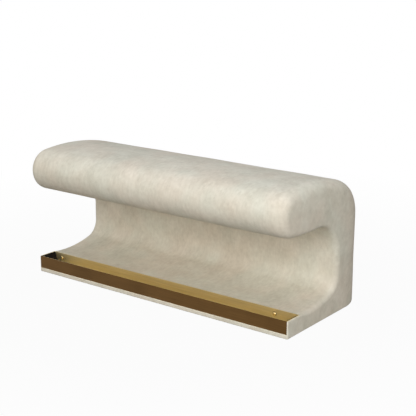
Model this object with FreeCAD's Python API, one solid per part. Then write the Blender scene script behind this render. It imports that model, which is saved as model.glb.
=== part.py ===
import FreeCAD, Part
import math
import os

# Upholstered entryway bench: a padded C section on a plywood frame, with a brass tray along the base
# Frame of the part: X along the bench, +Y to the back, +Z up, origin on the floor under its middle
# Sizes are in millimetres, and sections are drawn in Y and Z

# Overall sizes
length = 1100.0
depth = 474.0
height = 477.0
nose_overhang = 41.0

# Upholstered section
seat_thick = 155.0
nose_radius = 75.0
crown_from_nose = 161.0
back_top_radius = 139.0
back_foot_radius = 9.0
wall_thick = 140.0
under_cove_radius = 90.0
floor_z = 62.5
floor_flat = 47.2
floor_cove_radius = 60.0
floor_sweep_angle = 17.0

# Rounding of the two ends
end_round_seat = 42.0
end_round_wall = 22.0
end_round_floor = 4.0
end_round_foot = 3.0
end_steps = 7

# Layers from the outside in
body_lift = 3.0
cover = 3.5
hem = 32.0
dust_cloth = 1.0
foam_inner_t = 8.0
foam_back_t = 7.0
foam_nose_t = 42.0
foam_seat_t = 63.5
bent_ply = 5.0
rib_ply = 18.0
deck_ply = 15.0
back_ply = 6.0
base_ply = 11.0
soft_gap = 0.3

# Frame
mid_rib_x = 170.0
tray_rail_width = 24.0
nose_rail_width = 30.0
nose_rail_round = 12.0
head_rail_width = 22.0
head_rail_height = 40.0
head_rail_cover = 1.0

# Brass tray
tray_width = 70.3
tray_height = 46.0
tray_sheet = 1.5
tray_fold = 2.5
plug_foot = 18.0
plug_top = 4.0
tray_screw_left = 45.0
tray_screw_right = 96.0
tray_screw_up = 28.5
tray_head_d = 15.0
tray_head_rise = 4.5
tray_shank_d = 4.0
tray_shank = 18.0

# Steel arms that carry the seat
arm_plate = 6.0
arm_width = 40.0
arm_reach = 230.0
arm_drop = 190.0
arm_margin = 8.0
arm_corner = 30.0
arm_bolt_d = 8.0
arm_head_d = 16.0
arm_head = 4.5
arm_nut_d = 15.0
arm_nut = 6.5
arm_bolt_inset = 20.0

# Glides
glide_d = 28.0
glide_in = 75.0
glide_screw_d = 4.0
glide_screw_head_d = 8.0
glide_screw_head = 2.4
glide_recess = 1.6
glide_screw = 14.0

# Frame screws
screw_d = 4.5
screw_head_d = 9.0
screw_head = 2.5
screw_run = 40.0
base_screw_run = 30.0
screw_inset = 45.0
deck_screw_rows = 4

# Places that follow from the sizes
half = length / 2
frame_half = half - end_round_seat
y_nose = -depth / 2
y_back = depth / 2
y_tray = y_nose + nose_overhang
y_wall = y_back - wall_thick
nose_under_z = height - seat_thick
deck_top_z = height - cover - foam_seat_t
panel_in = cover + foam_inner_t
rib_in = panel_in + bent_ply
base_z = body_lift + cover
tray_z = base_z + base_ply
back_face = y_back - cover - foam_back_t
back_inner = back_face - back_ply
tray_back = y_tray + tray_width + tray_sheet
rail_back = tray_back + tray_rail_width
nose_rail_front = y_nose + cover + foam_nose_t
nose_rail_back = nose_rail_front + nose_rail_width
deck_z = deck_top_z - deck_ply
sweep = math.radians(floor_sweep_angle)
sweep_run = y_wall - floor_cove_radius - tray_back - floor_flat
floor_sweep_radius = floor_cove_radius + sweep_run / math.sin(sweep)
quarter = math.pi / 2


def at(x, y, z):
    return FreeCAD.Vector(x, y, z)


def line(x, a, b):
    return Part.LineSegment(at(x, a[0], a[1]), at(x, b[0], b[1])).toShape()


def on(centre, radius, angle):
    return (centre[0] + radius * math.cos(angle), centre[1] + radius * math.sin(angle))


def bow(x, centre, radius, start, end):
    points = [on(centre, radius, angle) for angle in (start, (start + end) / 2, end)]
    return Part.Arc(*[at(x, p[0], p[1]) for p in points]).toShape()


# Three tangent arcs make the seat: the nose, the crown and the top of the back
nose_centre = (y_nose + nose_radius, nose_under_z + nose_radius)
crown_y = y_nose + crown_from_nose
crown_run = nose_centre[0] - crown_y
crown_fall = nose_centre[1] - height
crown_radius = (nose_radius ** 2 - crown_run ** 2 - crown_fall ** 2) / (2 * crown_fall + 2 * nose_radius)
crown_centre = (crown_y, height - crown_radius)
back_run = y_back - back_top_radius - crown_y
back_rise = math.sqrt((crown_radius - back_top_radius) ** 2 - back_run ** 2)
back_centre = (y_back - back_top_radius, crown_centre[1] + back_rise)
nose_end = math.atan2(nose_centre[1] - crown_centre[1], crown_run)
back_start = math.atan2(back_rise, back_run)


def seat_edges(x, inset):
    # From the underside of the nose over the seat to the top of the straight back
    return [
        bow(x, nose_centre, nose_radius - inset, 3 * quarter, 2 * quarter),
        bow(x, nose_centre, nose_radius - inset, 2 * quarter, nose_end),
        bow(x, crown_centre, crown_radius - inset, nose_end, back_start),
        bow(x, back_centre, back_top_radius - inset, back_start, 0),
    ]


def foot_edges(x, seat, foot, bottom_to):
    # Down the back, round its foot and forward under the bench
    back = y_back - seat
    base = body_lift + foot
    radius = max(back_foot_radius - min(seat, foot), 0.5)
    centre = (back - radius, base + radius)
    return [
        line(x, (back, back_centre[1]), (back, centre[1])),
        bow(x, centre, radius, 0, -quarter),
        line(x, (centre[0], base), (bottom_to, base)),
    ]


def hollow_edges(x, seat, wall, floor, y_from, y_to):
    # Floor, cove, wall and underside of the hollow side, set into the body by the given amounts
    cove = floor_cove_radius + (wall + floor) / 2
    rise = floor_sweep_radius + floor
    under = under_cove_radius + (wall + seat) / 2
    face = y_wall + wall
    low = floor_z - floor
    high = nose_under_z + seat
    cove_y = face - cove
    cove_z = low + rise * (1 - math.cos(sweep)) + cove * math.cos(sweep)
    rise_y = cove_y + (cove - rise) * math.sin(sweep)
    under_centre = (face - under, high - under)
    return [
        line(x, (y_from, low), (rise_y, low)),
        bow(x, (rise_y, low + rise), rise, -quarter, sweep - quarter),
        bow(x, (cove_y, cove_z), cove, sweep - quarter, 0),
        line(x, (face, cove_z), (face, under_centre[1])),
        bow(x, under_centre, under, 0, quarter),
        line(x, (under_centre[0], high), (y_to, high)),
    ]


def body_wire(x, seat, wall, floor, foot):
    # Whole section of the padded body, set in by the given amounts
    front = y_tray + floor
    base = body_lift + foot
    edges = [line(x, (front, base), (front, floor_z - floor))]
    edges += hollow_edges(x, seat, wall, floor, front, nose_centre[0])
    edges += seat_edges(x, seat)
    edges += foot_edges(x, seat, foot, front)
    return Part.Wire(edges)


def joined(x, *runs):
    # One face between runs of edges, each run joined to the next by a straight line
    edges = []
    for k, run in enumerate(runs):
        edges += run
        a = run[-1].valueAt(run[-1].LastParameter)
        b = runs[(k + 1) % len(runs)][0]
        b = b.valueAt(b.FirstParameter)
        if a.distanceToPoint(b) > 1e-6:
            edges.append(Part.LineSegment(a, b).toShape())
    return Part.Face(Part.Wire(edges))


def turned(edges):
    # The same run, drawn the other way
    back = []
    for edge in reversed(edges):
        a = edge.valueAt(edge.LastParameter)
        b = edge.valueAt(edge.FirstParameter)
        middle = edge.valueAt((edge.FirstParameter + edge.LastParameter) / 2)
        if edge.Curve.TypeId == "Part::GeomLine":
            back.append(Part.LineSegment(a, b).toShape())
        else:
            back.append(Part.Arc(a, middle, b).toShape())
    return back


def path(x, points):
    return [line(x, a, b) for a, b in zip(points, points[1:])]


def along(face, run):
    return face.extrude(at(run, 0, 0))


def box(x0, x1, y0, y1, z0, z1):
    return Part.makeBox(x1 - x0, y1 - y0, z1 - z0, at(x0, y0, z0))


def rod(diameter, run, start, way):
    return Part.makeCylinder(diameter / 2, run, start, way)


def flipped(shape):
    return shape.mirror(at(0, 0, 0), at(1, 0, 0))


def folded(shape, radius):
    # A box with its two long bottom edges rounded, as a fold leaves them
    low = shape.BoundBox.ZMin
    edges = [edge for edge in shape.Edges if edge.BoundBox.ZMax < low + 1e-6 and edge.BoundBox.XLength > 1]
    return shape.makeFillet(radius, edges)


def cut_all(shape, tools):
    for tool in tools:
        shape = shape.cut(tool)
    return shape


os.makedirs("parts", exist_ok=True)


def save(node, *shapes):
    shape = shapes[0]
    if len(shapes) > 1:
        shape = Part.makeCompound(list(shapes))
    shape.exportStep("parts/" + node + ".step")
    bad = [solid for solid in shape.Solids if not solid.isValid() or solid.Volume <= 0]
    note = "invalid" if bad else ""
    print(node, len(shape.Solids), "solids", round(shape.Volume / 1000, 1), "cm3", note)


# Room for the tray between the two covered cheeks
room_half = half - cover
tray_room = box(-room_half, room_half, y_tray - cover, tray_back, tray_z, floor_z + cover)

# Cover panels of the straight middle, meeting at their seams
x0 = -frame_half
run = 2 * frame_half
cover_seat = along(joined(x0, seat_edges(x0, 0), turned(seat_edges(x0, cover))), run)
hem_back = y_back - cover - hem
cover_back = along(joined(x0, foot_edges(x0, 0, 0, hem_back), turned(foot_edges(x0, cover, cover, hem_back))), run)
skin = hollow_edges(x0, 0, 0, 0, tray_back, nose_centre[0])
skin_in = hollow_edges(x0, cover, cover, cover, tray_back, nose_centre[0])
cover_inner = along(joined(x0, skin, turned(skin_in)), run)
hem_front = y_tray + cover + hem
strip = [
    (y_tray, tray_z),
    (y_tray, body_lift),
    (hem_front, body_lift),
    (hem_front, base_z),
    (y_tray + cover, base_z),
    (y_tray + cover, tray_z),
    (y_tray, tray_z),
]
cover_front = along(joined(x0, path(x0, strip)), run)


def round_in(radius, into):
    # How far a rounded edge lies inside its corner, at a distance from the end
    if into >= radius:
        return 0.0
    return radius - math.sqrt(radius ** 2 - (radius - into) ** 2)


def end_solid(inset):
    # Rounded right end of the body, lofted through sections that shrink towards the end
    wires = []
    for k in range(end_steps):
        turn = quarter * k / (end_steps - 1)
        into = (end_round_seat - inset) * (1 - math.sin(turn))
        seat = inset + round_in(end_round_seat - inset, into)
        wall = inset + round_in(end_round_wall - inset, into)
        floor = inset + round_in(max(end_round_floor - inset, 0), into)
        foot = inset + round_in(max(end_round_foot - inset, 0), into)
        wires.append(body_wire(half - inset - into, seat, wall, floor, foot))
    return Part.makeLoft(wires, True, True)


end_outer = end_solid(0)
end_inner = end_solid(cover)
cover_end = end_outer.cut(end_inner).cut(tray_room)

# Plywood base board, with a tongue that carries the tray out to the cheeks
base_front = y_tray + cover
board = box(-frame_half, frame_half, base_front, back_face, base_z, tray_z)
tongue = box(-room_half + soft_gap, room_half - soft_gap, base_front, tray_back, base_z, tray_z)
base_board = board.fuse(tongue).removeSplitter()
foam_end = end_inner.cut(tray_room).cut(tongue)

# Foam: the thick seat roll, a sheet on the hollow side and a thin sheet on the back
head_radius = back_top_radius - cover - foam_back_t
deck_back = back_centre[0] + math.sqrt(head_radius ** 2 - (deck_top_z - back_centre[1]) ** 2)
head_angle = math.atan2(deck_top_z - back_centre[1], deck_back - back_centre[0])
rail_low = nose_under_z + panel_in
low_round = (nose_rail_front + nose_rail_round, rail_low + nose_rail_round)
top_round = (nose_rail_front + nose_rail_round, deck_top_z - nose_rail_round)
rail_face = [
    bow(x0, top_round, nose_rail_round, quarter, 2 * quarter),
    line(x0, (nose_rail_front, top_round[1]), (nose_rail_front, low_round[1])),
    bow(x0, low_round, nose_rail_round, 2 * quarter, 3 * quarter),
]
head_bow = [bow(x0, back_centre, head_radius, 0, head_angle)]
seat_foam_in = [line(x0, (low_round[0], rail_low), (nose_centre[0], rail_low))]
foam_seat = along(joined(x0, seat_edges(x0, cover), head_bow, rail_face, seat_foam_in), run)
sheet_in = hollow_edges(x0, panel_in, panel_in, panel_in, tray_back, nose_centre[0])
foam_inner = along(joined(x0, skin_in, turned(sheet_in)), run)
foam_back_low = body_lift + back_foot_radius
foam_back = box(x0, -x0, back_face, y_back - cover, foam_back_low, back_centre[1])

# Bent plywood lining of the hollow side
lining = hollow_edges(x0, panel_in, panel_in, panel_in, rail_back, nose_rail_back)
lining_in = hollow_edges(x0, rib_in, rib_in, rib_in, rail_back, nose_rail_back)
inner_panel = along(joined(x0, lining, turned(lining_in)), run)

# Rails: behind the tray, inside the nose and at the head of the back
rail_top = floor_z - panel_in
tray_rail = box(-frame_half, frame_half, tray_back, rail_back, tray_z, rail_top)
rail_rest = path(x0, [(low_round[0], rail_low), (nose_rail_back, rail_low), (nose_rail_back, deck_top_z)])
nose_rail = along(joined(x0, rail_face, rail_rest), run)
head_reach = math.sqrt(head_radius ** 2 - (back_inner - back_centre[0]) ** 2)
head_rail_top = back_centre[1] + head_reach - head_rail_cover

# C shaped ribs, one at each end and two between
rib_hollow = hollow_edges(0, rib_in, rib_in, rib_in, rail_back, nose_rail_back)
rib_top = path(0, [(nose_rail_back, deck_z), (deck_back, deck_z), (deck_back, deck_top_z)])
rib_head = [bow(0, back_centre, head_radius, head_angle, 0)]
rib_back = path(0, [(back_face, back_centre[1]), (back_inner, back_centre[1]), (back_inner, tray_z)])
rib_foot = path(0, [(back_inner, tray_z), (rail_back, tray_z)])
rib_face = joined(0, rib_hollow, rib_top, rib_head, rib_back, rib_foot)
rib_starts = [-frame_half, -mid_rib_x - rib_ply, mid_rib_x, frame_half - rib_ply]
ribs = []
for start in rib_starts:
    rib = along(rib_face, rib_ply)
    rib.translate(at(start, 0, 0))
    ribs.append(rib)
head_rails = []
for left, right in zip(rib_starts, rib_starts[1:]):
    low = head_rail_top - head_rail_height
    head_rails.append(box(left + rib_ply, right, back_inner - head_rail_width, back_inner, low, head_rail_top))

# Flat boards
seat_deck = box(-frame_half, frame_half, nose_rail_back, deck_back, deck_z, deck_top_z)
back_panel = box(-frame_half, frame_half, back_inner, back_face, tray_z, back_centre[1])

# Black cloth under the base, between the turned hems
dust = box(-frame_half, frame_half, hem_front, hem_back, base_z - dust_cloth, base_z)

# Folded brass tray with closed ends
tray_half = room_half - soft_gap
tray_out = box(-tray_half, tray_half, y_tray, tray_back, tray_z, tray_z + tray_height)
wall_in = tray_half - tray_sheet
tray_hollow = box(
    -wall_in, wall_in, y_tray + tray_sheet, tray_back - tray_sheet, tray_z + tray_sheet, tray_z + 2 * tray_height
)
tray = folded(tray_out, tray_fold).cut(folded(tray_hollow, tray_fold - tray_sheet))

# Black end plugs with a leaning inner face
plug_low = tray_z + tray_sheet
plug_high = tray_z + tray_height - tray_sheet
plug_points = [
    at(wall_in, 0, plug_low),
    at(wall_in - plug_foot, 0, plug_low),
    at(wall_in - plug_top, 0, plug_high),
    at(wall_in, 0, plug_high),
    at(wall_in, 0, plug_low),
]
plug = Part.Face(Part.makePolygon(plug_points)).extrude(at(0, tray_width - tray_sheet, 0))
plug.translate(at(0, y_tray + tray_sheet, 0))
plug = plug.cut(tray)

# Domed brass screws through the back wall of the tray, each turned about its own axis
wall_y = y_tray + tray_width
up = at(0, 0, 1)
tray_screws = []
tray_holes = []
head_r = tray_head_d / 2
shank_r = tray_shank_d / 2
dome_radius = (head_r ** 2 + tray_head_rise ** 2) / (2 * tray_head_rise)
dome_turn = math.asin(head_r / dome_radius) / 2
dome_mid = (dome_radius * math.sin(dome_turn), tray_head_rise - dome_radius * (1 - math.cos(dome_turn)))
for x in (-half + tray_screw_left, half - tray_screw_right):
    z = tray_z + tray_screw_up
    crown_at = at(x, wall_y - tray_head_rise, z)
    bulge_at = at(x, wall_y - dome_mid[1], z + dome_mid[0])
    rim_at = at(x, wall_y, z + head_r)
    outline = [Part.Arc(crown_at, bulge_at, rim_at).toShape()]
    corners = [rim_at, at(x, wall_y, z + shank_r), at(x, wall_y + tray_shank, z + shank_r)]
    corners += [at(x, wall_y + tray_shank, z), crown_at]
    outline += [Part.LineSegment(p, q).toShape() for p, q in zip(corners, corners[1:])]
    turned_face = Part.Face(Part.Wire(outline))
    tray_screws.append(turned_face.revolve(at(x, wall_y, z), at(0, 1, 0), 360))
    tray_holes.append(rod(tray_shank_d, tray_shank, at(x, wall_y, z), at(0, 1, 0)))
tray = cut_all(tray, tray_holes)

# Steel L plates bolted to the middle ribs, to carry the seat
arm_back = y_wall + rib_in + arm_margin
arm_top = deck_z - arm_margin
arm_front = arm_back + arm_width - arm_reach
arm_low = arm_top - arm_drop
elbow = arm_top - arm_width
arm_points = [
    (arm_front, arm_top),
    (arm_front, elbow),
    (arm_back - arm_corner, elbow),
    (arm_back, elbow - arm_corner),
    (arm_back, arm_low),
    (arm_back + arm_width, arm_low),
    (arm_back + arm_width, arm_top),
    (arm_front, arm_top),
]
arm_face = joined(0, path(0, arm_points))
arm_line_y = arm_back + arm_width / 2
arm_line_z = arm_top - arm_width / 2
bolt_places = [
    (arm_front + arm_bolt_inset, arm_line_z),
    ((arm_front + arm_back) / 2, arm_line_z),
    (arm_line_y, arm_line_z),
    (arm_line_y, (arm_line_z + arm_low) / 2),
    (arm_line_y, arm_low + arm_bolt_inset),
]
arms = []
bolts = []
nuts = []
sideways = at(1, 0, 0)
for side in (-1, 1):
    inner_x = side * mid_rib_x
    way = sideways * side
    arm = along(arm_face, -side * arm_plate)
    arm.translate(at(inner_x, 0, 0))
    for y, z in bolt_places:
        start = at(inner_x - side * arm_plate, y, z)
        shank_run = arm_plate + rib_ply + arm_nut
        shank = rod(arm_bolt_d, shank_run, start, way)
        head = rod(arm_head_d, arm_head, start, way * -1)
        bolts.append(head.fuse(shank).removeSplitter())
        nut = rod(arm_nut_d, arm_nut, start + way * (arm_plate + rib_ply), way)
        nuts.append(nut.cut(shank))
        arm = arm.cut(shank)
        ribs = [rib.cut(shank) for rib in ribs]
    arms.append(arm)

# Glides under the base board, each held by one screw
glides = []
glide_screws = []
for x in (-frame_half + glide_in, 0, frame_half - glide_in):
    for y in (y_tray + glide_in, back_face - glide_in):
        pad = rod(glide_d, base_z, at(x, y, 0), up)
        head = rod(glide_screw_head_d, glide_screw_head, at(x, y, glide_recess), up)
        shank = rod(glide_screw_d, glide_screw, at(x, y, glide_recess), up)
        screw = head.fuse(shank).removeSplitter()
        pocket = rod(glide_screw_head_d, glide_recess, at(x, y, 0), up)
        glides.append(pad.cut(screw).cut(pocket))
        glide_screws.append(screw)
        base_board = base_board.cut(shank)
        dust = dust.cut(rod(glide_d, base_z, at(x, y, 0), up))

# Countersunk screws that hold the deck and the base board to the ribs
frame_screws = []
for start in rib_starts:
    x = start + rib_ply / 2
    reach = deck_back - nose_rail_back - 2 * screw_inset
    for k in range(deck_screw_rows):
        y = nose_rail_back + screw_inset + reach * k / (deck_screw_rows - 1)
        head = rod(screw_head_d, screw_head, at(x, y, deck_top_z), up * -1)
        shank = rod(screw_d, screw_run, at(x, y, deck_top_z), up * -1)
        screw = head.fuse(shank).removeSplitter()
        seat_deck = seat_deck.cut(screw)
        ribs = [rib.cut(screw) for rib in ribs]
        frame_screws.append(screw)
    for y in (rail_back + screw_inset, back_inner - screw_inset):
        head = rod(screw_head_d, screw_head, at(x, y, base_z), up)
        shank = rod(screw_d, base_screw_run, at(x, y, base_z), up)
        screw = head.fuse(shank).removeSplitter()
        base_board = base_board.cut(screw)
        ribs = [rib.cut(screw) for rib in ribs]
        frame_screws.append(screw)
tray_rail = cut_all(tray_rail, tray_holes)

# Upholstery
save("cover_seat", cover_seat)
save("cover_back", cover_back)
save("cover_inner", cover_inner)
save("cover_front", cover_front)
save("cover_end_right", cover_end)
save("cover_end_left", flipped(cover_end))
save("dust_cover", dust)
save("foam_seat", foam_seat)
save("foam_inner", foam_inner)
save("foam_back", foam_back)
save("foam_end_right", foam_end)
save("foam_end_left", flipped(foam_end))

# Frame
save("rib_end_left", ribs[0])
save("rib_mid_left", ribs[1])
save("rib_mid_right", ribs[2])
save("rib_end_right", ribs[3])
save("inner_panel", inner_panel)
save("seat_deck", seat_deck)
save("back_panel", back_panel)
save("base_board", base_board)
save("tray_rail", tray_rail)
save("nose_rail", nose_rail)
save("head_rail", *head_rails)
save("arm_left", arms[0])
save("arm_right", arms[1])
save("arm_bolts", *bolts)
save("arm_nuts", *nuts)
save("frame_screws", *frame_screws)

# Tray and glides
save("tray", tray)
save("tray_plug_right", plug)
save("tray_plug_left", flipped(plug))
save("tray_screws", *tray_screws)
save("glides", *glides)
save("glide_screws", *glide_screws)
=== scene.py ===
import math

import bmesh
import bpy
import numpy as np
from bpy.props import FloatProperty, FloatVectorProperty, PointerProperty
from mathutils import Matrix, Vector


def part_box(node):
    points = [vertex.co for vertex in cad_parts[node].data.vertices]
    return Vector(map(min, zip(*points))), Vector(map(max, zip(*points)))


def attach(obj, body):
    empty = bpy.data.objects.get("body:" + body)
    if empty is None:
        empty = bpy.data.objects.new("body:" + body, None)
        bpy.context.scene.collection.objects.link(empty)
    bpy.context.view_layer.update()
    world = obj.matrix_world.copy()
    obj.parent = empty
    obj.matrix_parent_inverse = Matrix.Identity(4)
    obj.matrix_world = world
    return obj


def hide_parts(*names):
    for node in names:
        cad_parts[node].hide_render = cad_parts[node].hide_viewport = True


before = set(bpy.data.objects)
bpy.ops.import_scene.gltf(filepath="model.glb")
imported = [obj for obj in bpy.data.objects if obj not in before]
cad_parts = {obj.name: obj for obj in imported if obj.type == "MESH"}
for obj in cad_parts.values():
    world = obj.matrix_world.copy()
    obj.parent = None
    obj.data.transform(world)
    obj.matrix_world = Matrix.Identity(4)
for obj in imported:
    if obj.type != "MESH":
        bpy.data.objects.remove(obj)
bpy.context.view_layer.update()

bl_info = {
    "name": "Entryway Bench",
    "version": (1, 0, 0),
    "blender": (4, 5, 0),
    "location": "View3D > Sidebar > Bench",
    "description": "Padded C-section entryway bench with a brass tray along its base",
    "category": "Object",
}

MM = 0.001
QUARTER = math.pi / 2

# Shares of the section's points: the same count on the hollow side and the outer side, so that an end cap is one grid
FINE = 2
EDGE_RUNS = {"corner": 4, "front": 3, "shoulder": 4}
HOLLOW_RUNS = {
    "ledge": 6, "rise": 5, "floor": 4, "sweep": 8, "cove": 14, "wall": 6,
    "under_cove": 14, "underside": 8, "nose_low": 6,
}
OUTER_RUNS = {
    "nose_high": 4, "crown": 12, "back_top": 9, "back": 17, "foot": 4,
    "hem_back": 3, "step_back": 2, "bottom": 15, "step_front": 2, "hem_front": 3,
}
EDGE = FINE * sum(EDGE_RUNS.values())
SIDE = FINE * sum(HOLLOW_RUNS.values())

# Sections of the skin over each rounded end and along the straight middle
END_RINGS = 12
MIDDLE_RINGS = 49

# Edges of the skin that turn by more than this are shaded as sharp
CREASE = math.radians(50)


def linear(code):
    """Turns an sRGB hex colour into the linear red, green, blue and alpha that shaders use."""
    parts = [int(code[k:k + 2], 16) / 255 for k in (0, 2, 4)]
    return tuple(p / 12.92 if p <= 0.04045 else ((p + 0.055) / 1.055) ** 2.4 for p in parts) + (1.0,)


def length(name, description, value):
    """A length in metres whose default is given in millimetres."""
    return FloatProperty(name=name, description=description, default=value * MM, unit="LENGTH", subtype="DISTANCE")


def colour(name, description, code):
    """A linear colour whose default is an sRGB hex value."""
    return FloatVectorProperty(
        name=name, description=description, default=linear(code), size=4, subtype="COLOR", min=0.0, max=1.0
    )


class BenchBody(bpy.types.PropertyGroup):
    """Sizes of the padded body: those of the solids it covers, with the upper cove and the ends filled out by
    stuffing."""

    depth: length("Depth", "From the nose of the seat to the outer back", 474.0)
    width: length("Length", "Along the bench, over the two ends", 1100.0)
    height: length("Height", "From the floor to the crown of the seat", 477.0)
    nose_overhang: length("Nose overhang", "How far the nose stands out over the tray", 41.0)
    seat_thick: length("Seat thickness", "From the underside of the nose to the crown", 155.0)
    nose_radius: length("Nose radius", "Round of the front of the seat", 75.0)
    crown_from_nose: length("Crown place", "From the nose to the highest line of the seat", 161.0)
    back_top_radius: length("Back top radius", "Round between the seat and the back", 139.0)
    back_foot_radius: length("Back foot radius", "Round at the foot of the back", 9.0)
    wall_thick: length("Wall thickness", "From the hollow's wall to the outer back", 140.0)
    under_cove_radius: length("Upper cove radius", "Round between the wall and the underside of the seat", 112.0)
    floor_z: length("Hollow floor height", "Top of the base behind the tray", 62.5)
    floor_flat: length("Flat of the floor", "Level run of the hollow's floor behind the tray", 47.2)
    floor_cove_radius: length("Lower cove radius", "Round between the floor and the wall", 60.0)
    floor_sweep: FloatProperty(
        name="Floor sweep", description="How far the floor turns up before the lower cove",
        default=math.radians(17.0), subtype="ANGLE",
    )
    end_round_seat: length("End round, seat", "Round of the end edges at the seat and back", 42.0)
    end_round_rear: length("End round, rear", "How far the padded end falls away towards the back", 84.0)
    end_reach_rear: length("End reach, rear", "How far along the back the rear edge of the end is rounded", 22.0)
    end_round_nose: length("End round, nose", "Round of the end edges under the nose", 22.0)
    end_round_under: length("End round, underside", "Round of the end edges of the seat's underside", 12.0)
    end_round_wall: length("End round, wall", "Round of the end edges along the hollow's wall", 22.0)
    end_round_sweep: length("End round, sweep", "Round of the end edges where the floor turns up", 15.0)
    end_round_floor: length("End round, floor", "Round of the end edges at the base", 4.0)
    end_round_foot: length("End round, foot", "Round of the end edges under the base", 3.0)
    swell: length("Swell", "The most that the stuffing may swell the cover", 3.0)
    body_lift: length("Lift", "Height of the cover above the floor, on its glides", 3.0)
    cover: length("Cover thickness", "Cloth with its thin wadding", 3.5)
    hem: length("Hem", "Width of the cloth turned under the base", 32.0)
    base_ply: length("Base board", "Thickness of the board that carries the tray", 11.0)
    tray_deep: length("Tray room", "Front to back size of the room for the tray", 71.8)
    soft_edge: length("Soft edge", "Round of the cloth over the base's edges", 3.0)
    uneven: length("Unevenness", "How far hand-laid padding strays from its form", 0.4)


class BenchColours(bpy.types.PropertyGroup):
    """Colours of the finishes."""

    nubuck: colour("Nubuck", "Middle tone of the brushed cover", "DAD2C1")
    nubuck_dark: colour("Nubuck, nap against", "Where the nap lies towards the eye", "CDC4B2")
    nubuck_pale: colour("Nubuck, nap with", "Where the nap lies away from the eye", "E5DECE")
    brass: colour("Brass", "Brushed and lacquered tray", "FFECB5")
    # Painted reflection: the dark brown of the tray's outer face
    brass_front_painted_reflection: colour("Brass, painted dark reflection", "Outer face of the tray, painted dark as reflection", "6B4F2D")
    brass_screw: colour("Screw brass", "Polished heads of the tray screws", "EFD394")
    rubber: colour("Black rubber", "End plugs of the tray", "0F0B08")
    dust_cloth: colour("Dust cloth", "Thin black cloth under the base", "1C1C1D")
    plywood: colour("Birch plywood", "Ribs, boards and lining", "CDB07C")
    timber: colour("Softwood", "Planed rails", "D6B780")
    steel: colour("Zinc plate", "Arms, bolts and screws", "B9BCC0")
    plastic: colour("Glide plastic", "Six glides under the base", "2A2A2C")


class BenchStage(bpy.types.PropertyGroup):
    """Camera and studio light."""

    camera_place: FloatVectorProperty(
        name="Camera place", description="Where the camera stands", default=(2.1545, -2.711, 1.2463),
        size=3, subtype="TRANSLATION", unit="LENGTH",
    )
    camera_turn: FloatProperty(
        name="Camera turn", description="Turn of the view to the left", default=math.radians(37.303), subtype="ANGLE"
    )
    camera_tilt: FloatProperty(
        name="Camera tilt", description="Tilt of the view below level", default=math.radians(15.346), subtype="ANGLE"
    )
    lens: FloatProperty(
        name="Lens", description="Focal length on a 36 mm frame", default=88.61, subtype="DISTANCE_CAMERA"
    )
    sky: FloatProperty(name="Fill", description="Strength of the even studio fill", default=0.475)
    fill_tint: colour("Fill tint", "Colour of the even studio fill", "FFFEFD")
    front: FloatProperty(name="Front light", description="Large soft light at the front", default=79.0, subtype="POWER")
    top: FloatProperty(name="Top light", description="Large soft light overhead", default=29.0, subtype="POWER")


def arc(centre_y, centre_z, radius, start, end, count, last_radius=None, slow_start=False):
    """Part of a circle, one row for each section: the centre plus the radius times the cosine and sine of angles
    that step evenly from start up to, but not including, end. Where a last radius is given, the radius eases out to
    it, by one less the cube of the rest of the way, or with a slow start by three squares less two cubes of the way."""
    share = np.linspace(0, 1, FINE * count, endpoint=False)
    turn = start + (end - start) * share
    zero = 0 * (centre_y + centre_z + radius)
    grow = zero if last_radius is None else last_radius - radius + zero
    ease = share ** 2 * (3 - 2 * share) if slow_start else 1 - (1 - share) ** 3
    reach = (radius + zero)[:, None] + grow[:, None] * ease
    y = (centre_y + zero)[:, None] + reach * np.cos(turn)
    z = (centre_z + zero)[:, None] + reach * np.sin(turn)
    return np.stack((y, z), axis=-1)


def straight(a_y, a_z, b_y, b_z, count, bow=1):
    """Straight run, one row for each section: point a plus an even share of the step from a to b, b left out. The
    share of the rise is raised to the power bow, which leaves the rise to the end of the run."""
    share = np.linspace(0, 1, FINE * count, endpoint=False)
    zero = 0 * (a_y + a_z + b_y + b_z)
    y = (a_y + zero)[:, None] + (b_y - a_y + zero)[:, None] * share
    z = (a_z + zero)[:, None] + (b_z - a_z + zero)[:, None] * share ** bow
    return np.stack((y, z), axis=-1)


def rounded(radius, into, reach=None):
    """How far a quarter-round edge lies inside its corner at a distance from the end: the radius times one less the
    root of one less the square of the share of the way that is left, and nothing past the round. The way is the
    radius, or another reach where the edge is a quarter of an ellipse."""
    rest = np.clip(1 - into / (reach or radius), 0.0, None)
    return radius * (1 - np.sqrt(np.clip(1 - rest ** 2, 0.0, None)))


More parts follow.
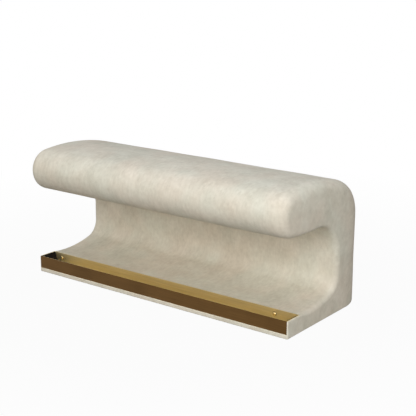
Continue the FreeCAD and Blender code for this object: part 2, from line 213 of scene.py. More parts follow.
def body_sections(size, into, notch, recess):
    """Closed sections of the body in Y and Z, one row for each place along the bench. Each is a chain of straight
    runs and tangent arcs, set in by the quarter rounds of the ends: up the front, along the hollow side to the nose,
    then over the seat, down the back and forward under the base. Where notch is 1 the front drops to the tray's
    board, and where recess is 1 the underside steps up to the base board between its two hems."""
    seat = rounded(size.end_round_seat, into)
    rear = rounded(size.end_round_rear, into, size.end_reach_rear)
    tip = rounded(size.end_round_nose, into)
    tuck = rounded(size.end_round_under, into)
    wall = rounded(size.end_round_wall, into)
    turn_up = rounded(size.end_round_sweep, into)
    floor = rounded(size.end_round_floor, into)
    foot = rounded(size.end_round_foot, into)
    y_nose, y_back = -size.depth / 2, size.depth / 2
    front = y_nose + size.nose_overhang + floor
    tray_back = y_nose + size.nose_overhang + size.tray_deep
    base = size.body_lift + foot
    board = size.body_lift + size.cover
    low = size.floor_z - floor
    top = low + notch * (board + size.base_ply - low)
    cheek_ledge = 0.55
    ledge = front + (tray_back - front) * (cheek_ledge + (1 - cheek_ledge) * notch)
    soft = size.soft_edge

    sweep = size.floor_sweep
    face = y_back - size.wall_thick + wall
    cove = size.floor_cove_radius + (wall + turn_up) / 2
    sweep_run = y_back - size.wall_thick - size.floor_cove_radius - tray_back - size.floor_flat
    bend = size.floor_cove_radius + sweep_run / math.sin(sweep) + turn_up
    bend_z = size.floor_z - turn_up + bend
    cove_y = face - cove
    cove_z = bend_z + (cove - bend) * math.cos(sweep)
    bend_y = cove_y + (cove - bend) * math.sin(sweep)
    high = size.height - size.seat_thick + tuck
    under = size.under_cove_radius + (wall + tuck) / 2

    nose_y = y_nose + size.nose_radius
    nose_z = size.height - size.seat_thick + size.nose_radius
    crown_y = y_nose + size.crown_from_nose
    run, fall = nose_y - crown_y, nose_z - size.height
    crown = (size.nose_radius ** 2 - run ** 2 - fall ** 2) / (2 * fall + 2 * size.nose_radius)
    crown_z = size.height - crown
    head_y = y_back - size.back_top_radius
    head_z = crown_z + math.sqrt((crown - size.back_top_radius) ** 2 - (head_y - crown_y) ** 2)
    nose_end = math.atan2(nose_z - crown_z, run)
    head_start = math.atan2(head_z - crown_z, head_y - crown_y)

    back = y_back - rear
    least_round, step = 0.5 * MM, 4 * MM
    foot_round = np.clip(size.back_foot_radius - np.minimum(seat, foot), least_round, None)
    hem_back = back - size.cover - size.hem
    hem_front = y_nose + size.nose_overhang + size.cover + size.hem + 0 * seat
    sunk = base + recess * (board - base)
    runs = {**EDGE_RUNS, **HOLLOW_RUNS, **OUTER_RUNS}
    nose, nose_low = size.nose_radius - seat, size.nose_radius - tip
    eighth = math.pi / 4
    chain = [
        arc(front + soft, base + soft, soft, -QUARTER, -2 * QUARTER, runs["corner"]),
        straight(front, base + soft, front, top - soft, runs["front"]),
        arc(front + soft, top - soft, soft, 2 * QUARTER, QUARTER, runs["shoulder"]),
        straight(front + soft, top, ledge, top, runs["ledge"]),
        straight(ledge, top, tray_back, low, runs["rise"]),
        straight(tray_back, low, bend_y, bend_z - bend, runs["floor"]),
        arc(bend_y, bend_z, bend, -QUARTER, sweep - QUARTER, runs["sweep"]),
        arc(cove_y, cove_z, cove, sweep - QUARTER, 0, runs["cove"]),
        straight(face, cove_z, face, high - under, runs["wall"]),
        arc(face - under, high - under, under, 0, QUARTER, runs["under_cove"]),
        straight(face - under, high, nose_y, nose_z - nose_low, runs["underside"], bow=3),
        arc(nose_y, nose_z, nose_low, 3 * QUARTER, 3 * eighth, runs["nose_low"] + sum(EDGE_RUNS.values()), nose),
        arc(nose_y, nose_z, nose, 3 * eighth, nose_end, runs["nose_high"]),
        arc(crown_y, crown_z, crown - seat, nose_end, head_start, runs["crown"]),
        arc(
            head_y, head_z, size.back_top_radius - seat, head_start, 0, runs["back_top"], size.back_top_radius - rear,
            slow_start=True,
        ),
        straight(back, head_z, back, base + foot_round, runs["back"]),
        arc(back - foot_round, base + foot_round, foot_round, 0, -QUARTER, runs["foot"]),
        straight(back - foot_round, base, hem_back, base, runs["hem_back"]),
        straight(hem_back, base, hem_back - step, sunk, runs["step_back"]),
        straight(hem_back - step, sunk, hem_front + step, sunk, runs["bottom"]),
        straight(hem_front + step, sunk, hem_front, base, runs["step_front"]),
        straight(hem_front, base, front + soft, base, runs["hem_front"]),
    ]
    return np.concatenate(chain, axis=1)


def end_cap(section):
    """Inside points of a level end cap as one grid: straight lines from the hollow side to the outer side, bent near
    the nose and the base by what those two edges stray from a straight line. Each inside point of the seat then goes
    to the mean of its four neighbours, forty times over, which opens the faces that lie flat against the nose."""
    fade, passes = 12, 40
    loop = np.vstack((section, section[:1]))
    hollow = loop[EDGE:EDGE + SIDE + 1]
    nose = loop[EDGE + SIDE:2 * EDGE + SIDE + 1]
    outer = loop[2 * EDGE + SIDE:][::-1]
    front = loop[:EDGE + 1][::-1]
    s = np.linspace(0, 1, SIDE + 1)[:, None, None]
    t = np.linspace(0, 1, EDGE + 1)[None, :, None]
    grid = (1 - t) * hollow[:, None] + t * outer[:, None]
    for edge, weight in ((front, (1 - s) ** fade), (nose, s ** fade)):
        stray = edge - (edge[0] + (edge[-1] - edge[0]) * t[0])
        grid = grid + weight * stray[None]
    near = grid[-FINE * (HOLLOW_RUNS["underside"] + HOLLOW_RUNS["nose_low"]):]
    for _ in range(passes):
        near[1:-1, 1:-1] = (near[:-2, 1:-1] + near[2:, 1:-1] + near[1:-1, :-2] + near[1:-1, 2:]) / 4
    return grid[1:-1, 1:-1]


def cap_index(first, ring):
    """Vertex numbers of a cap's grid: its four edges are points of the end section, its inside is numbered on."""
    loop = np.append(np.arange(ring), 0)
    index = np.empty((SIDE + 1, EDGE + 1), dtype=np.int64)
    index[1:-1, 1:-1] = first + np.arange((SIDE - 1) * (EDGE - 1)).reshape(SIDE - 1, EDGE - 1)
    index[:, 0] = loop[EDGE:EDGE + SIDE + 1]
    index[:, -1] = loop[2 * EDGE + SIDE:][::-1]
    index[0] = loop[:EDGE + 1][::-1]
    index[-1] = loop[EDGE + SIDE:2 * EDGE + SIDE + 1]
    return index


def grid_faces(index):
    """Four-sided faces of a grid of vertex numbers: each number with its next along, next across and next both."""
    return np.stack((index[:-1, :-1], index[1:, :-1], index[1:, 1:], index[:-1, 1:]), axis=-1).reshape(-1, 4)


def mesh_piece(name, points, faces, material):
    """A smooth mesh object at the origin from whole arrays of points and four-sided faces. Points that fall together,
    as where two sections share a plane, are merged."""
    mesh = bpy.data.meshes.new(name)
    mesh.vertices.add(len(points))
    mesh.vertices.foreach_set("co", points.astype(np.float32).ravel())
    mesh.loops.add(faces.size)
    mesh.loops.foreach_set("vertex_index", faces.astype(np.int32).ravel())
    mesh.polygons.add(len(faces))
    mesh.polygons.foreach_set("loop_start", np.arange(0, faces.size, 4, dtype=np.int32))
    mesh.update(calc_edges=True)
    welded = bmesh.new()
    welded.from_mesh(mesh)
    bmesh.ops.remove_doubles(welded, verts=welded.verts, dist=0.01 * MM)
    welded.to_mesh(mesh)
    welded.free()
    mesh.shade_smooth()
    mesh.materials.append(material)
    piece = bpy.data.objects.new(name, mesh)
    bpy.context.collection.objects.link(piece)
    return piece


def read_points(mesh):
    """A mesh's points as one array."""
    flat = np.empty(len(mesh.vertices) * 3, dtype=np.float32)
    mesh.vertices.foreach_get("co", flat)
    return flat.reshape(-1, 3).astype(float)


def read_normals(mesh):
    """A mesh's point normals as one array."""
    flat = np.empty(len(mesh.vertices) * 3, dtype=np.float32)
    mesh.vertex_normals.foreach_get("vector", flat)
    return flat.reshape(-1, 3).astype(float)


def cloth_hold(size, points, normals):
    """How firmly the cover is held to the frame, from 0 to 1: fully at the base and on the hollow side, where it is
    glued to the lining, and falling off evenly over 60 mm along the underside of the nose and 45 mm up the back."""
    base_top, base_fade, nose_fade, least = 120 * MM, 45 * MM, 60 * MM, 0.1
    past_wall, above_underside, sideways = 23 * MM, 43 * MM, 0.6
    nose_y = -size.depth / 2 + size.nose_radius
    y_wall = size.depth / 2 - size.wall_thick
    y, z = points[:, 1], points[:, 2]
    base = np.clip((base_top - z) / base_fade, 0, 1)
    hollow = (y > nose_y) & (y < y_wall + past_wall) & (z < size.height - size.seat_thick + above_underside)
    hollow &= np.abs(normals[:, 0]) < sideways
    return np.maximum(base, hollow * np.clip((y - nose_y) / nose_fade, least, 1))


def swelled(context, piece, hold, most):
    """Where the cover comes to rest over its stuffing: a copy of the piece is simulated as stiff cloth under a light
    inner pressure, held as given. Each point keeps its way, and its distance d becomes m tanh(d / m), which comes near
    but never past the most, m, that it may move."""
    hold_steps, frames, tiny = 5, 12, 1e-9
    trial = bpy.data.objects.new("cover_trial", piece.data.copy())
    context.collection.objects.link(trial)
    group = trial.vertex_groups.new(name="held")
    level = np.round(hold * hold_steps) / hold_steps
    for share in np.unique(level[level > 0]):
        group.add(np.flatnonzero(level == share).tolist(), float(share), "REPLACE")
    cloth = trial.modifiers.new("Cloth", "CLOTH")
    cloth.settings.vertex_group_mass = group.name
    cloth.settings.quality = 5
    cloth.settings.tension_stiffness = 80
    cloth.settings.compression_stiffness = 80
    cloth.settings.shear_stiffness = 40
    cloth.settings.bending_stiffness = 10
    cloth.settings.use_pressure = True
    cloth.settings.uniform_pressure_force = 0.25
    cloth.settings.effector_weights.gravity = 0
    cloth.point_cache.frame_start = 1
    cloth.point_cache.frame_end = frames
    for step in range(1, frames + 1):
        context.scene.frame_set(step)
    start = read_points(trial.data)
    rested = trial.evaluated_get(context.evaluated_depsgraph_get())
    move = read_points(rested.to_mesh()) - start
    rested.to_mesh_clear()
    context.scene.frame_set(1)
    shape = trial.data
    bpy.data.objects.remove(trial)
    bpy.data.meshes.remove(shape)
    way = np.linalg.norm(move, axis=1, keepdims=True)
    return start + move * most * np.tanh(way / most) / np.maximum(way, tiny)


def padding(points, normals, amount):
    """Unevenness of hand-laid padding: the amount times a sum of slow waves over the place, eased from nought at the
    base to full over the hollow, along each point's normal. The waves' rates are in radians for each metre."""
    low, fade = 80 * MM, 90 * MM
    x, y, z = points.T
    wave = np.sin(9.1 * x + 5.3 * z + 0.4) * np.cos(7.7 * y - 4.1 * x) + 0.7 * np.sin(21.0 * x - 13.0 * y + 17.0 * z)
    wave += 0.5 * np.cos(33.0 * x + 11.0 * z + 1.3) * np.sin(19.0 * y + 27.0 * z)
    ease = np.clip((z - low) / fade, 0, 1)
    return points + normals * (amount * wave * ease * ease * (3 - 2 * ease))[:, None]


def node(tree, kind, links=(), values=(), stops=(), **settings):
    """Adds one shader node. Links are pairs of this node's input and another node's output, values give inputs their
    value, stops are pairs of place and colour on a ramp, and other settings are the node's own."""
    made = tree.nodes.new(kind)
    for name, value in settings.items():
        setattr(made, name, value)
    for name, value in dict(values).items():
        made.inputs[name].default_value = value
    for name, source in links:
        tree.links.new(source, made.inputs[name])
    for k, (place, tone) in enumerate(stops):
        stop = made.color_ramp.elements[k] if k < 2 else made.color_ramp.elements.new(place)
        stop.position = place
        stop.color = tone
    return made


def darker(tone, share):
    """A share of a linear colour, with full alpha."""
    return tuple(share * part for part in tone[:3]) + (1.0,)


def finish_material(name):
    """A new material with its Principled shader, and its Object coordinates."""
    material = bpy.data.materials.new(name)
    material.use_nodes = True
    tree = material.node_tree
    shader = tree.nodes["Principled BSDF"]
    place = node(tree, "ShaderNodeTexCoord").outputs["Object"]
    return material, tree, shader, place


def brushed_nubuck(tones):
    """Microfibre nubuck, brushed: a dull face of very short nap. It gives the eye soft clouds where a hand has
    turned the nap, faint strokes of the brush across the bench, a slow drift from warm to cool, and a pale bloom at
    glancing angles."""
    material, tree, shader, place = finish_material("brushed_nubuck")
    # Clouds about 70 mm across, smaller blots about 14 mm, and brush strokes about 8 mm by 24 mm
    clouds = node(
        tree, "ShaderNodeTexNoise", [("Vector", place)], values={"Scale": 14.0, "Detail": 3.0, "Roughness": 0.55}
    )
    blots = node(
        tree, "ShaderNodeTexNoise", [("Vector", place)], values={"Scale": 70.0, "Detail": 5.0, "Roughness": 0.65}
    )
    lie = node(tree, "ShaderNodeMapping", [("Vector", place)], values={"Scale": (125.0, 42.0, 42.0)})
    strokes = node(tree, "ShaderNodeTexNoise", [("Vector", lie.outputs[0])], values={"Scale": 1.0, "Detail": 3.0})
    mottle = node(
        tree, "ShaderNodeMix", [("A", clouds.outputs["Fac"]), ("B", blots.outputs["Fac"])], values={"Factor": 0.45}
    )
    brushed = node(
        tree, "ShaderNodeMix", [("A", mottle.outputs[0]), ("B", strokes.outputs["Fac"])], values={"Factor": 0.24}
    )
    tone = node(
        tree, "ShaderNodeValToRGB", [("Fac", brushed.outputs[0])],
        stops=[(0.35, tones.nubuck_dark), (0.65, tones.nubuck_pale), (0.5, tones.nubuck)],
    )
    # Warm and cool patches about 120 mm across
    drift = node(tree, "ShaderNodeTexNoise", [("Vector", place)], values={"Scale": 8.0, "Detail": 2.0})
    tint = node(
        tree, "ShaderNodeValToRGB", [("Fac", drift.outputs["Fac"])],
        stops=[(0.36, linear("FFFBF7")), (0.64, linear("FBFDFA"))],
    )
    dyed = node(
        tree, "ShaderNodeMix", [(6, tone.outputs[0]), (7, tint.outputs[0])], values={"Factor": 1.0},
        data_type="RGBA", blend_type="MULTIPLY",
    )
    tree.links.new(dyed.outputs[2], shader.inputs["Base Color"])
    shader.inputs["Roughness"].default_value = 0.92
    shader.inputs["Specular IOR Level"].default_value = 0.25
    shader.inputs["Sheen Weight"].default_value = 0.06
    shader.inputs["Sheen Roughness"].default_value = 0.45
    shader.inputs["Sheen Tint"].default_value = linear("EFEBE0")
    # Nap about 1.6 mm, coarser than the real 0.3 mm so that it shows
    nap = node(tree, "ShaderNodeTexNoise", [("Vector", place)], values={"Scale": 620.0, "Detail": 2.0})
    relief = node(
        tree, "ShaderNodeMix", [("A", nap.outputs["Fac"]), ("B", strokes.outputs["Fac"])], values={"Factor": 0.4}
    )
    bump = node(
        tree, "ShaderNodeBump", [("Height", relief.outputs[0])], values={"Strength": 0.35, "Distance": 0.4 * MM}
    )
    tree.links.new(bump.outputs["Normal"], shader.inputs["Normal"])
    return material


def brushed_brass(tones, front_y):
    """Brass sheet, brushed along its length and lacquered. It gives the eye long fine lines, a gold inside and a dull
    brown front; the brown of the outer face is painted reflection, standing in for the dark surroundings that the front
    mirrors."""
    material, tree, shader, place = finish_material("brushed_brass")
    # Brush lines about 3 mm by 120 mm, coarser than the real 0.1 mm so that they show, with finer ones among them
    lines = node(tree, "ShaderNodeMapping", [("Vector", place)], values={"Scale": (8.0, 320.0, 320.0)})
    brush = node(
        tree, "ShaderNodeTexNoise", [("Vector", lines.outputs[0])],
        values={"Scale": 1.0, "Detail": 5.0, "Roughness": 0.6},
    )
    cloud = node(tree, "ShaderNodeTexNoise", [("Vector", place)], values={"Scale": 9.0, "Detail": 3.0})
    gold = node(
        tree, "ShaderNodeMix", [("Factor", brush.outputs["Fac"])],
        values={6: darker(tones.brass, 0.62), 7: tones.brass}, data_type="RGBA",
    )
    # Painted reflection on the outer face: a dark brown made patchy by cloud and brush noise
    reflection_mottle = node(
        tree, "ShaderNodeMix", [("A", cloud.outputs["Fac"]), ("B", brush.outputs["Fac"])], values={"Factor": 0.55}
    )
    dark_reflection_ramp = node(
        tree, "ShaderNodeValToRGB", [("Fac", reflection_mottle.outputs[0])],
        stops=[(0.36, darker(tones.brass_front_painted_reflection, 0.7)), (0.64, tones.brass_front_painted_reflection)],
    )
    # Painted reflection: the outer face, the front 0.6 mm of the sheet, is painted dark brown for the dark surroundings
    # it mirrors, and the tone turns to gold over the next 0.6 mm
    split = node(tree, "ShaderNodeSeparateXYZ", [("Vector", place)])
    outer = node(
        tree, "ShaderNodeMapRange", [("Value", split.outputs["Y"])],
        values={"From Min": front_y + 1.2 * MM, "From Max": front_y + 0.6 * MM},
    )
    # Gold inside, painted dark reflection on the outer face
    tone = node(
        tree, "ShaderNodeMix", [("Factor", outer.outputs[0]), (6, gold.outputs[2]), (7, dark_reflection_ramp.outputs[0])],
        data_type="RGBA",
    )
    tree.links.new(tone.outputs[2], shader.inputs["Base Color"])
    shader.inputs["Metallic"].default_value = 1.0
    rough = node(
        tree, "ShaderNodeMapRange", [("Value", brush.outputs["Fac"])], values={"To Min": 0.42, "To Max": 0.58}
    )
    tree.links.new(rough.outputs[0], shader.inputs["Roughness"])
    bump = node(
        tree, "ShaderNodeBump", [("Height", brush.outputs["Fac"])], values={"Strength": 0.12, "Distance": 0.1 * MM}
    )
    tree.links.new(bump.outputs["Normal"], shader.inputs["Normal"])
    return material


def polished_brass(tones, wall_y):
    """Turned brass screw heads, polished and lacquered: bright domes with a faint haze of fine marks, and a dark line
    of painted shadow round the foot of each dome."""
    material, tree, shader, place = finish_material("polished_brass")
    haze = node(tree, "ShaderNodeTexNoise", [("Vector", place)], values={"Scale": 400.0, "Detail": 3.0})
    tone = node(
        tree, "ShaderNodeValToRGB", [("Fac", haze.outputs["Fac"])],
        stops=[(0.3, darker(tones.brass_screw, 0.85)), (0.7, tones.brass_screw)],
    )
    # Painted shadow: the dark line round the foot of each dome begins 2.6 mm from the wall and is full at 1 mm
    split = node(tree, "ShaderNodeSeparateXYZ", [("Vector", place)])
    foot = node(
        tree, "ShaderNodeMapRange", [("Value", split.outputs["Y"])],
        values={"From Min": wall_y - 2.6 * MM, "From Max": wall_y - 1.0 * MM},
    )
    # Painted shadow colour at the foot of each dome
    painted_shadow_ring = node(
        tree, "ShaderNodeMix", [("Factor", foot.outputs[0]), (6, tone.outputs[0])], values={7: linear("4A3516")},
        data_type="RGBA",
    )
    tree.links.new(painted_shadow_ring.outputs[2], shader.inputs["Base Color"])
    shader.inputs["Metallic"].default_value = 1.0
    rough = node(tree, "ShaderNodeMapRange", [("Value", haze.outputs["Fac"])], values={"To Min": 0.2, "To Max": 0.34})
    tree.links.new(rough.outputs[0], shader.inputs["Roughness"])
    return material


def moulded_rubber(tones):
    """Black moulded rubber: matt, with a dusty bloom and a fine pebbled skin."""
    material, tree, shader, place = finish_material("moulded_rubber")
    bloom = node(tree, "ShaderNodeTexNoise", [("Vector", place)], values={"Scale": 60.0, "Detail": 4.0})
    tone = node(
        tree, "ShaderNodeValToRGB", [("Fac", bloom.outputs["Fac"])],
        stops=[(0.35, tones.rubber), (0.8, linear("1C1713"))],
    )
    tree.links.new(tone.outputs[0], shader.inputs["Base Color"])
    shader.inputs["Roughness"].default_value = 0.85
    shader.inputs["Specular IOR Level"].default_value = 0.2
    grain = node(tree, "ShaderNodeTexVoronoi", [("Vector", place)], values={"Scale": 700.0})
    bump = node(
        tree, "ShaderNodeBump", [("Height", grain.outputs["Distance"])], values={"Strength": 0.2, "Distance": 0.15 * MM}
    )
    tree.links.new(bump.outputs["Normal"], shader.inputs["Normal"])
    return material


def spunbond_cloth(tones):
    """Spunbonded black polypropylene: a thin felt of fibres, pressed with a fine grid of dimples."""
    material, tree, shader, place = finish_material("spunbond_cloth")
    fibres = node(tree, "ShaderNodeTexNoise", [("Vector", place)], values={"Scale": 160.0, "Detail": 5.0})
    tone = node(
        tree, "ShaderNodeValToRGB", [("Fac", fibres.outputs["Fac"])],
        stops=[(0.3, tones.dust_cloth), (0.75, linear("343436"))],
    )
    tree.links.new(tone.outputs[0], shader.inputs["Base Color"])
    shader.inputs["Roughness"].default_value = 0.85
    # Dimples 4 mm apart, coarser than the real 1 mm so that they show
    dimples = node(tree, "ShaderNodeTexVoronoi", [("Vector", place)], values={"Scale": 250.0, "Randomness": 0.15})
    bump = node(
        tree, "ShaderNodeBump", [("Height", dimples.outputs["Distance"])],
        values={"Strength": 0.4, "Distance": 0.3 * MM},
    )
    tree.links.new(bump.outputs["Normal"], shader.inputs["Normal"])
    return material


def sawn_wood(name, tone, dark, along, ring_mm):
    """Wood along one axis: rings drawn out into grain 25 times as long by a stretched noise, with darker late wood."""
    material, tree, shader, place = finish_material(name)
    drawn_out = 25
    rate = 1 / (ring_mm * MM)
    stretch = [rate, rate, rate]
    stretch[along] = rate / drawn_out
    grain_lie = node(tree, "ShaderNodeMapping", [("Vector", place)], values={"Scale": stretch})
    grain = node(tree, "ShaderNodeTexNoise", [("Vector", grain_lie.outputs[0])], values={"Scale": 1.0, "Detail": 5.0})
    shade = node(tree, "ShaderNodeValToRGB", [("Fac", grain.outputs["Fac"])], stops=[(0.35, dark), (0.62, tone)])
    tree.links.new(shade.outputs[0], shader.inputs["Base Color"])
    shader.inputs["Roughness"].default_value = 0.66
    bump = node(
        tree, "ShaderNodeBump", [("Height", grain.outputs["Fac"])], values={"Strength": 0.2, "Distance": 0.2 * MM}
    )
    tree.links.new(bump.outputs["Normal"], shader.inputs["Normal"])
    return material


def zinc_plate(tones):
    """Zinc-plated mild steel: pale grey metal with a soft spangle."""
    material, tree, shader, place = finish_material("zinc_plate")
    spangle = node(tree, "ShaderNodeTexVoronoi", [("Vector", place)], values={"Scale": 220.0})
    tone = node(
        tree, "ShaderNodeValToRGB", [("Fac", spangle.outputs["Distance"])],
        stops=[(0.0, darker(tones.steel, 0.8)), (0.8, tones.steel)],
    )
    tree.links.new(tone.outputs[0], shader.inputs["Base Color"])
    shader.inputs["Metallic"].default_value = 1.0
    rough = node(
        tree, "ShaderNodeMapRange", [("Value", spangle.outputs["Distance"])], values={"To Min": 0.3, "To Max": 0.5}
    )
    tree.links.new(rough.outputs[0], shader.inputs["Roughness"])
    return material


def moulded_plastic(tones):
    """Moulded black polyethylene: satin, scuffed paler where it slides."""
    material, tree, shader, place = finish_material("moulded_polyethylene")
    scuffs = node(tree, "ShaderNodeTexNoise", [("Vector", place)], values={"Scale": 180.0, "Detail": 6.0})
    tone = node(
        tree, "ShaderNodeValToRGB", [("Fac", scuffs.outputs["Fac"])],
        stops=[(0.4, tones.plastic), (0.75, linear("4A4A4C"))],
    )
    tree.links.new(tone.outputs[0], shader.inputs["Base Color"])
    rough = node(tree, "ShaderNodeMapRange", [("Value", scuffs.outputs["Fac"])], values={"To Min": 0.35, "To Max": 0.6})
    tree.links.new(rough.outputs[0], shader.inputs["Roughness"])
    return material


def dress(names, material):
    """Gives CAD nodes their material."""
    for name in names:
        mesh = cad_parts[name].data
        mesh.materials.clear()
        mesh.materials.append(material)


class BENCH_OT_upholstery(bpy.types.Operator):
    """Build the padded body with its cover, in place of the cover and foam solids"""

    bl_idname = "bench.upholstery"
    bl_label = "Upholstery"

    def execute(self, context):
        size = context.scene.bench_body
        half = size.width / 2
        straight_half = half - size.end_round_seat
        cheek = half - size.cover
        apart = 0.2 * MM
        turn = np.linspace(0, QUARTER, END_RINGS + 1)[1:]
        end = straight_half + size.end_round_seat * np.sin(turn)
        inner = end[end < cheek - apart]
        outer = end[end > cheek + apart]
        end_x = np.concatenate(([straight_half], inner, [cheek, cheek], outer))
        end_notch = np.concatenate(([1.0], np.ones(len(inner)), [1.0, 0.0], np.zeros(len(outer))))
        middle = np.linspace(-straight_half, straight_half, MIDDLE_RINGS)
        x = np.concatenate((-end_x[::-1], middle, end_x))
        notch = np.concatenate((end_notch[::-1], np.ones(len(middle)), end_notch))
        recess = np.concatenate((np.zeros(len(end_x)), np.ones(len(middle)), np.zeros(len(end_x))))
        sections = body_sections(size, half - np.abs(x), notch, recess)
        rings, ring = sections.shape[:2]
        skin = np.concatenate((np.broadcast_to(x[:, None, None], (rings, ring, 1)), sections), axis=2).reshape(-1, 3)
        index = np.arange(rings * ring).reshape(rings, ring)
        faces = [grid_faces(np.hstack((index, index[:, :1])))]
        points = [skin]
        first = rings * ring
        for side, last in ((-1, 0), (1, rings - 1)):
            inside = end_cap(sections[last])
            points.append(np.dstack((np.full(inside.shape[:2], side * half), inside)).reshape(-1, 3))
            numbers = cap_index(first, ring)
            numbers[numbers < ring] += last * ring
            cap = grid_faces(numbers)
            faces.append(cap[:, ::-1] if side > 0 else cap)
            first += inside.shape[0] * inside.shape[1]
        body = mesh_piece(
            "upholstered_body", np.vstack(points), np.vstack(faces), brushed_nubuck(context.scene.bench_colours)
        )
        mesh = body.data
        places = read_points(mesh)
        places = swelled(context, body, cloth_hold(size, places, read_normals(mesh)), size.swell)
        mesh.vertices.foreach_set("co", places.astype(np.float32).ravel())
        mesh.update()
        places = padding(places, read_normals(mesh), size.uneven)
        mesh.vertices.foreach_set("co", places.astype(np.float32).ravel())
        mesh.set_sharp_from_angle(angle=CREASE)
        mesh.update()
        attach(body, "root")
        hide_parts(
            "cover_seat", "cover_back", "cover_inner", "cover_front", "cover_end_left", "cover_end_right",
            "foam_seat", "foam_inner", "foam_back", "foam_end_left", "foam_end_right",
        )
        return {"FINISHED"}


class BENCH_OT_dust_sheet(bpy.types.Operator):
    """Stretch the thin black cloth under the base board"""

    bl_idname = "bench.dust_sheet"
    bl_label = "Dust sheet"

    def execute(self, context):
        low, high = (np.array(corner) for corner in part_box("dust_cover"))
        side_gap, edge_gap, taut_rim, under, sag = 1 * MM, 5 * MM, 60 * MM, 0.9 * MM, 0.5 * MM
        lines_across, lines_deep = 121, 49
        across = np.linspace(low[0] + side_gap, high[0] - side_gap, lines_across)
        deep = np.linspace(low[1] + edge_gap, high[1] - edge_gap, lines_deep)
        x, y = np.meshgrid(across, deep, indexing="ij")
        # Height under the board: a level sheet that sags by a slow wave between its stapled edges
        rim = np.minimum(np.minimum(x - low[0], high[0] - x), np.minimum(y - low[1], high[1] - y))
        slack = np.clip(rim / taut_rim, 0, 1)
        z = high[2] - under - sag * slack * (1 + np.sin(31 * x + 9 * y) * np.cos(23 * y - 4 * x))
        points = np.stack((x, y, z), axis=-1).reshape(-1, 3)
        index = np.arange(points.shape[0]).reshape(x.shape)
        cloth = spunbond_cloth(context.scene.bench_colours)
        sheet = mesh_piece("dust_sheet", points, grid_faces(index)[:, ::-1], cloth)
        thick = sheet.modifiers.new("Thickness", "SOLIDIFY")
        thick.thickness = 0.4 * MM
        thick.offset = -1
        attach(sheet, "root")
        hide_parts("dust_cover")
        return {"FINISHED"}


class BENCH_OT_tray(bpy.types.Operator):
    """Give the brass tray, its screws and its end plugs their finishes"""

    bl_idname = "bench.tray"
    bl_label = "Brass tray"

    def execute(self, context):
        tones = context.scene.bench_colours
        dome = 4.5 * MM
        dress(["tray"], brushed_brass(tones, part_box("tray")[0][1]))
        dress(["tray_screws"], polished_brass(tones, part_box("tray_screws")[0][1] + dome))
        dress(["tray_plug_left", "tray_plug_right"], moulded_rubber(tones))
        return {"FINISHED"}


class BENCH_OT_wood(bpy.types.Operator):
    """Give the plywood and softwood of the hidden frame their grain"""

    bl_idname = "bench.wood"
    bl_label = "Wooden frame"

    def execute(self, context):
        tones = context.scene.bench_colours
        along_x, along_z = 0, 2
        birch_dark, spruce_dark = linear("B08F5C"), linear("B98F55")
        ribs = ["rib_end_left", "rib_mid_left", "rib_mid_right", "rib_end_right"]
        boards = ["inner_panel", "seat_deck", "back_panel", "base_board"]
        rails = ["tray_rail", "nose_rail", "head_rail"]
        dress(ribs, sawn_wood("birch_plywood_upright", tones.plywood, birch_dark, along_z, 6.0))
        dress(boards, sawn_wood("birch_plywood_along", tones.plywood, birch_dark, along_x, 6.0))
        dress(rails, sawn_wood("planed_spruce", tones.timber, spruce_dark, along_x, 4.0))
        return {"FINISHED"}


class BENCH_OT_steel(bpy.types.Operator):
    """Give the steel arms, bolts, nuts and screws their zinc plate"""

    bl_idname = "bench.steel"
    bl_label = "Steel arms and screws"

    def execute(self, context):
        dress(
            ["arm_left", "arm_right", "arm_bolts", "arm_nuts", "frame_screws", "glide_screws"],
            zinc_plate(context.scene.bench_colours),
        )
        return {"FINISHED"}


class BENCH_OT_glides(bpy.types.Operator):
    """Give the six glides under the base their plastic"""

    bl_idname = "bench.glides"
    bl_label = "Glides"

    def execute(self, context):
        dress(["glides"], moulded_plastic(context.scene.bench_colours))
        return {"FINISHED"}


def seen_rays(tree):
    """One where the ray is a camera, glossy or transmission ray, so that the eye, metal and glass see the same white,
    and nought elsewhere."""
    path = node(tree, "ShaderNodeLightPath")
    first = node(
        tree, "ShaderNodeMath", [(0, path.outputs["Is Camera Ray"]), (1, path.outputs["Is Glossy Ray"])],
        operation="MAXIMUM",
    )
    seen = node(
        tree, "ShaderNodeMath", [(0, first.outputs[0]), (1, path.outputs["Is Transmission Ray"])],
        operation="MAXIMUM",
    )
    return seen.outputs[0]


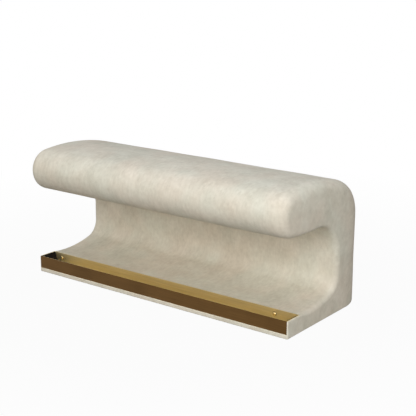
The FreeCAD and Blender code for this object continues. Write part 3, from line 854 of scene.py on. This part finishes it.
class BENCH_OT_stage(bpy.types.Operator):
    """Set the pale floor, the soft studio light and the camera"""

    bl_idname = "bench.stage"
    bl_label = "Stage"

    def execute(self, context):
        scene = context.scene
        look = scene.bench_stage
        scene.view_settings.view_transform = "Standard"

        world = bpy.data.worlds.new("studio")
        world.use_nodes = True
        tree = world.node_tree
        # Fill that is strongest from the front and weakest from behind, and white where it is seen
        sides = node(tree, "ShaderNodeTexCoord")
        split = node(tree, "ShaderNodeSeparateXYZ", [("Vector", sides.outputs["Generated"])])
        fill = node(
            tree, "ShaderNodeMapRange", [("Value", split.outputs["Y"])],
            values={"From Min": -1.0, "From Max": 0.2, "To Min": 2.3 * look.sky, "To Max": 0.36 * look.sky},
        )
        seen = seen_rays(tree)
        level = node(tree, "ShaderNodeMix", [("Factor", seen), ("A", fill.outputs[0])], values={"B": 1.0})
        white = node(
            tree, "ShaderNodeMix", [("Factor", seen)], values={6: look.fill_tint, 7: linear("FFFFFF")},
            data_type="RGBA",
        )
        tree.links.new(level.outputs[0], tree.nodes["Background"].inputs["Strength"])
        tree.links.new(white.outputs[2], tree.nodes["Background"].inputs["Color"])
        scene.world = world

        # Floor: a level grid, its lines at even steps
        lines = np.linspace(-14, 14, 29)
        x, y = np.meshgrid(lines, lines, indexing="ij")
        points = np.stack((x, y, 0 * x), axis=-1).reshape(-1, 3)
        index = np.arange(points.shape[0]).reshape(x.shape)
        material, tree, shader, place = finish_material("pale_floor")
        shader.inputs["Base Color"].default_value = linear("7F7D79")
        shader.inputs["Roughness"].default_value = 0.9
        shader.inputs["Specular IOR Level"].default_value = 0.1
        glow = node(tree, "ShaderNodeEmission")
        # Seen white, with the shadow kept near the bench and fading out about two metres off
        off = node(tree, "ShaderNodeVectorMath", [(0, place)], operation="LENGTH")
        bare = node(
            tree, "ShaderNodeMapRange", [("Value", off.outputs["Value"])],
            values={"From Min": 0.7, "From Max": 2.0, "To Min": 0.96, "To Max": 1.0},
        )
        share = node(tree, "ShaderNodeMath", [(0, seen_rays(tree)), (1, bare.outputs[0])], operation="MULTIPLY")
        blend = node(
            tree, "ShaderNodeMixShader",
            [(0, share.outputs[0]), (1, shader.outputs[0]), (2, glow.outputs[0])],
        )
        tree.links.new(blend.outputs[0], tree.nodes["Material Output"].inputs["Surface"])
        mesh_piece("studio_floor", points, grid_faces(index), material)

        # A wide soft light low at the front, a little to the camera's side, and a weak one overhead
        for name, power, tint, spot, aim, wide, tall in (
            ("front_light", look.front, "F3F8FF", (2.4, -2.5, 1.6), (0.0, 0.0, 0.2), 3.0, 2.2),
            ("top_light", look.top, "D6E5FF", (0.0, -0.3, 3.4), (0.0, 0.0, 0.0), 3.0, 2.0),
        ):
            lamp = bpy.data.lights.new(name, "AREA")
            lamp.shape = "RECTANGLE"
            lamp.size, lamp.size_y = wide, tall
            lamp.energy = power
            lamp.color = linear(tint)[:3]
            holder = bpy.data.objects.new(name, lamp)
            holder.location = spot
            toward = np.array(aim) - np.array(spot)
            holder.rotation_euler = (
                math.acos(-toward[2] / np.linalg.norm(toward)), 0.0, math.atan2(toward[1], toward[0]) - QUARTER,
            )
            holder.visible_camera = False
            context.collection.objects.link(holder)

        camera = bpy.data.cameras.new("camera")
        camera.lens = look.lens
        camera.sensor_width = 36.0
        holder = bpy.data.objects.new("camera", camera)
        holder.location = look.camera_place
        holder.rotation_euler = (QUARTER - look.camera_tilt, 0.0, look.camera_turn)
        context.collection.objects.link(holder)
        scene.camera = holder
        return {"FINISHED"}


class BENCH_PT_panel(bpy.types.Panel):
    """Lists the bench's pieces, sizes, colours and stage"""

    bl_idname = "BENCH_PT_panel"
    bl_label = "Entryway Bench"
    bl_space_type = "VIEW_3D"
    bl_region_type = "UI"
    bl_category = "Bench"

    def draw(self, context):
        layout = self.layout
        for maker in OPERATORS:
            layout.operator(maker.bl_idname)
        for group in (context.scene.bench_body, context.scene.bench_colours, context.scene.bench_stage):
            column = layout.box().column()
            for name in group.__annotations__:
                column.prop(group, name)


OPERATORS = (
    BENCH_OT_upholstery, BENCH_OT_dust_sheet, BENCH_OT_tray, BENCH_OT_wood, BENCH_OT_steel, BENCH_OT_glides,
    BENCH_OT_stage,
)
GROUPS = {"bench_body": BenchBody, "bench_colours": BenchColours, "bench_stage": BenchStage}


def register():
    for kind in (*GROUPS.values(), *OPERATORS, BENCH_PT_panel):
        bpy.utils.register_class(kind)
    for name, kind in GROUPS.items():
        setattr(bpy.types.Scene, name, PointerProperty(type=kind))


def unregister():
    for name in GROUPS:
        delattr(bpy.types.Scene, name)
    for kind in (BENCH_PT_panel, *reversed(OPERATORS), *reversed(GROUPS.values())):
        bpy.utils.unregister_class(kind)


def main():
    register()
    bpy.ops.bench.stage()
    bpy.ops.bench.upholstery()
    bpy.ops.bench.dust_sheet()
    bpy.ops.bench.tray()
    bpy.ops.bench.wood()
    bpy.ops.bench.steel()
    bpy.ops.bench.glides()


if __name__ == "__main__":
    main()
